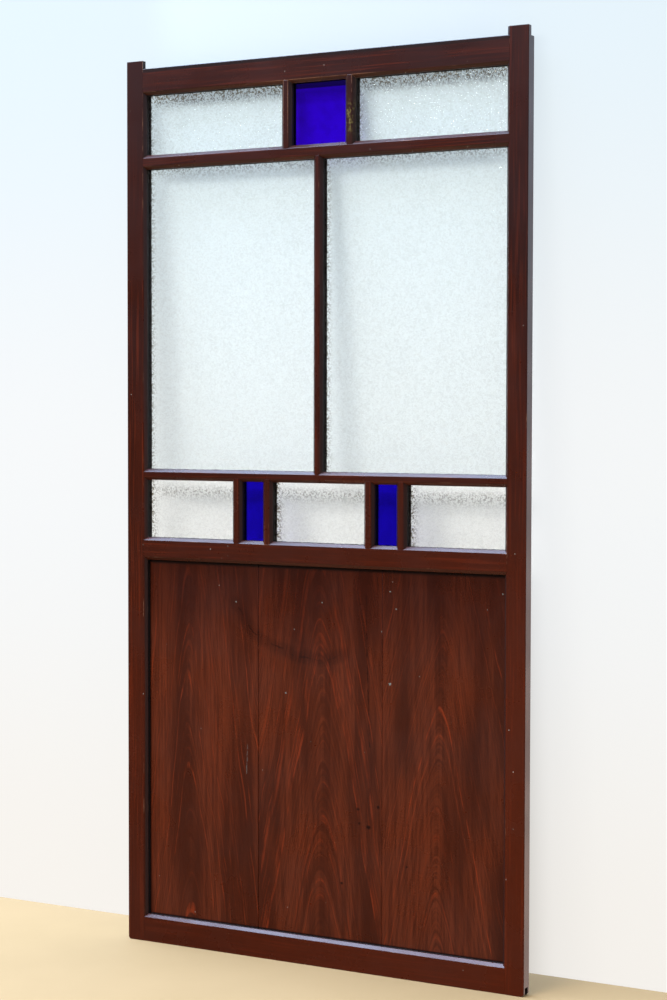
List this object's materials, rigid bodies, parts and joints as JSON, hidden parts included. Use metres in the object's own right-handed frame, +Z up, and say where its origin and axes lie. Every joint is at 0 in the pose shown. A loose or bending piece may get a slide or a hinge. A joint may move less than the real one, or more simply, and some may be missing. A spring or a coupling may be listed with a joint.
{
  "type": "glass door",
  "caption": "Leaf of a sliding wooden glass door with its own frame: figured and blue glass above a panel of upright boards, on rollers in a sill groove.",
  "frame": {"origin": "on the underside of the leaf, in the middle of its width and thickness", "axes": "+X to the right seen from the moulded front, +Y from the front to the back, +Z up"},
  "size_m": [0.874, 0.024, 1.757],
  "materials": {
    "stained_wood": "dark red-brown stain, satin",
    "panel_board": "red-brown stain, satin",
    "figured_glass": "figured, clear",
    "blue_glass": "polished, cobalt blue",
    "pressed_sheet": "pressed sheet",
    "turned_iron": "turned",
    "nail_steel": "drawn wire"
  },
  "bodies": {
    "leaf": {"left_stile": "stained_wood", "right_stile": "stained_wood", "bottom_rail": "stained_wood", "waist_rail": "stained_wood", "middle_rail": "stained_wood", "transom_rail": "stained_wood", "top_rail": "stained_wood", "top_bar_1": "stained_wood", "top_bar_2": "stained_wood", "main_bar_1": "stained_wood", "lower_bar_1": "stained_wood", "lower_bar_2": "stained_wood", "lower_bar_3": "stained_wood", "lower_bar_4": "stained_wood", "panel_board_left": "panel_board", "panel_board_middle": "panel_board", "panel_board_right": "panel_board", "pane_top_left": "figured_glass", "beads_top_left": "stained_wood", "pane_top_blue": "blue_glass", "beads_top_blue": "stained_wood", "pane_top_right": "figured_glass", "beads_top_right": "stained_wood", "pane_main_left": "figured_glass", "beads_main_left": "stained_wood", "pane_main_right": "figured_glass", "beads_main_right": "stained_wood", "pane_lower_left": "figured_glass", "beads_lower_left": "stained_wood", "pane_lower_blue_left": "blue_glass", "beads_lower_blue_left": "stained_wood", "pane_lower_middle": "figured_glass", "beads_lower_middle": "stained_wood", "pane_lower_blue_right": "blue_glass", "beads_lower_blue_right": "stained_wood", "pane_lower_right": "figured_glass", "beads_lower_right": "stained_wood", "roller_housing_left": "pressed_sheet", "roller_axle_left": "nail_steel", "roller_housing_right": "pressed_sheet", "roller_axle_right": "nail_steel", "roller_nails": "nail_steel"},
    "left_wheel": {"roller_wheel_left": "turned_iron"},
    "right_wheel": {"roller_wheel_right": "turned_iron"}
  },
  "joints": [
    {"name": "left_wheel_spin", "type": "hinge", "parent": "leaf", "child": "left_wheel", "pos_m": [-0.307, 0, 0.018], "axis": [0, 1, 0], "continuous": true},
    {"name": "right_wheel_spin", "type": "hinge", "parent": "leaf", "child": "right_wheel", "pos_m": [0.307, 0, 0.018], "axis": [0, 1, 0], "continuous": true}
  ]
}
